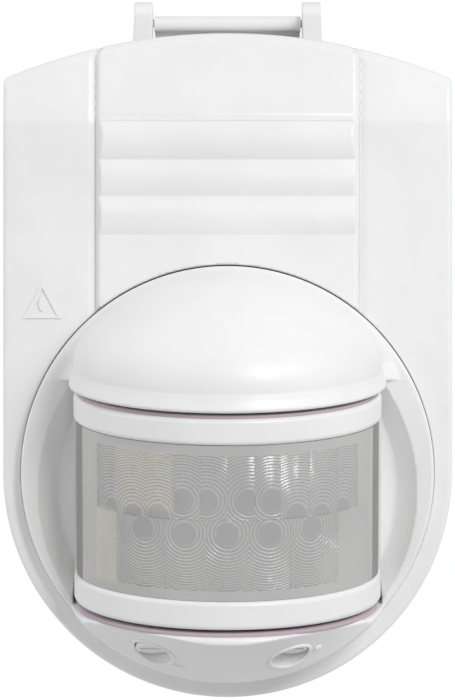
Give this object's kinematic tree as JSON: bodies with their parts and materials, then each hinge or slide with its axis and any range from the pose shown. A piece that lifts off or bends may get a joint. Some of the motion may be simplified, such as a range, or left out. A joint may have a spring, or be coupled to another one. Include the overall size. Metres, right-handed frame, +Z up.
{
  "type": "motion sensor",
  "caption": "White outdoor wireless motion sensor: hinged housing on a wall bracket, hooded head with a panning Fresnel lens drum and setting dials under its chin.",
  "frame": {"origin": "on the wall face of the bracket, midway between the two wall screw holes", "axes": "+Z up, +X to the viewer's right, +Y into the wall, so the lens looks along -Y"},
  "size_m": [0.088, 0.0732, 0.1381],
  "materials": {
    "white_case": "satin moulded ABS",
    "inner_plastic": "matt moulded",
    "lens_milk": "milky translucent polyethylene",
    "strip_grey": "matt grey",
    "seal_rubber": "soft rubber",
    "steel": "zinc plated",
    "cell_jacket": "plain printed sleeve",
    "board_green": "lacquered circuit board",
    "chip_black": "matt",
    "copper_wire": "lacquered copper",
    "capacitor_sleeve": "shrunk sleeve",
    "button_red": "matt",
    "light_red": "clear tinted",
    "cell_orange": "clear lacquer",
    "lead_sheath": "soft sheath"
  },
  "bodies": {
    "bracket": {"wall_bracket": "white_case"},
    "housing": {"front_cover": "white_case", "rear_cover": "white_case", "case_gasket": "seal_rubber", "case_screws": "steel", "hinge_pin": "steel", "lock_screw": "steel", "lock_nut": "steel", "battery_tray": "inner_plastic", "battery_cell_1": "cell_jacket", "battery_cell_2": "cell_jacket", "battery_cell_3": "cell_jacket", "battery_springs": "steel", "battery_contacts": "steel", "battery_door": "white_case", "door_gasket": "seal_rubber", "door_screws": "steel", "main_board": "board_green", "board_screws": "steel", "controller_chip": "chip_black", "radio_module": "board_green", "antenna_coil": "copper_wire", "capacitor": "capacitor_sleeve", "switch_board": "board_green", "push_switch": "chip_black", "slide_switch": "steel", "head_shell": "white_case", "head_seal": "seal_rubber", "head_screws": "steel", "upper_bush": "inner_plastic", "lower_bush": "inner_plastic", "friction_washer": "steel", "dial_board": "board_green", "time_trimmer": "inner_plastic", "lux_trimmer": "inner_plastic", "time_dial_seal": "seal_rubber", "lux_dial_seal": "seal_rubber", "sensor_lead": "lead_sheath"},
    "drum": {"drum_body": "white_case", "drum_cap": "white_case", "drum_screws": "steel", "fresnel_lens": "lens_milk", "left_lens_strip": "strip_grey", "right_lens_strip": "strip_grey", "sensor_board": "board_green", "infrared_sensor": "steel", "sensor_window": "chip_black", "sensor_shroud": "inner_plastic", "status_light": "light_red", "daylight_sensor": "cell_orange", "cable_socket": "inner_plastic", "lead_plug": "chip_black"},
    "time_dial_turn": {"time_dial": "white_case"},
    "lux_dial_turn": {"lux_dial": "white_case"},
    "learn_button_push": {"learn_button": "button_red"},
    "mode_slider_shift": {"mode_slider": "chip_black"}
  },
  "joints": [
    {"name": "housing_hinge", "type": "hinge", "parent": "bracket", "child": "housing", "pos_m": [0, -0.0052, 0.0686], "axis": [-1, 0, 0], "range_deg": [0, 95]},
    {"name": "drum_pan", "type": "hinge", "parent": "housing", "child": "drum", "pos_m": [0, -0.0393, -0.0251], "axis": [0, -0.1668, 0.986], "range_deg": [-45, 45]},
    {"name": "time_dial_turn", "type": "hinge", "parent": "housing", "child": "time_dial_turn", "pos_m": [-0.0142, -0.0538, -0.0562], "axis": [0, -0.342, -0.9397], "range_deg": [-135, 135]},
    {"name": "lux_dial_turn", "type": "hinge", "parent": "housing", "child": "lux_dial_turn", "pos_m": [0.012, -0.0538, -0.0562], "axis": [0, -0.342, -0.9397], "range_deg": [-135, 135]},
    {"name": "learn_button_push", "type": "slide", "parent": "housing", "child": "learn_button_push", "axis": [0, -1, 0], "range_m": [0, 0.0005], "stiffness_N_per_m": 400, "springref_m": -0.001},
    {"name": "mode_slider_shift", "type": "slide", "parent": "housing", "child": "mode_slider_shift", "axis": [0, 0, 1], "range_m": [0, 0.003]}
  ]
}
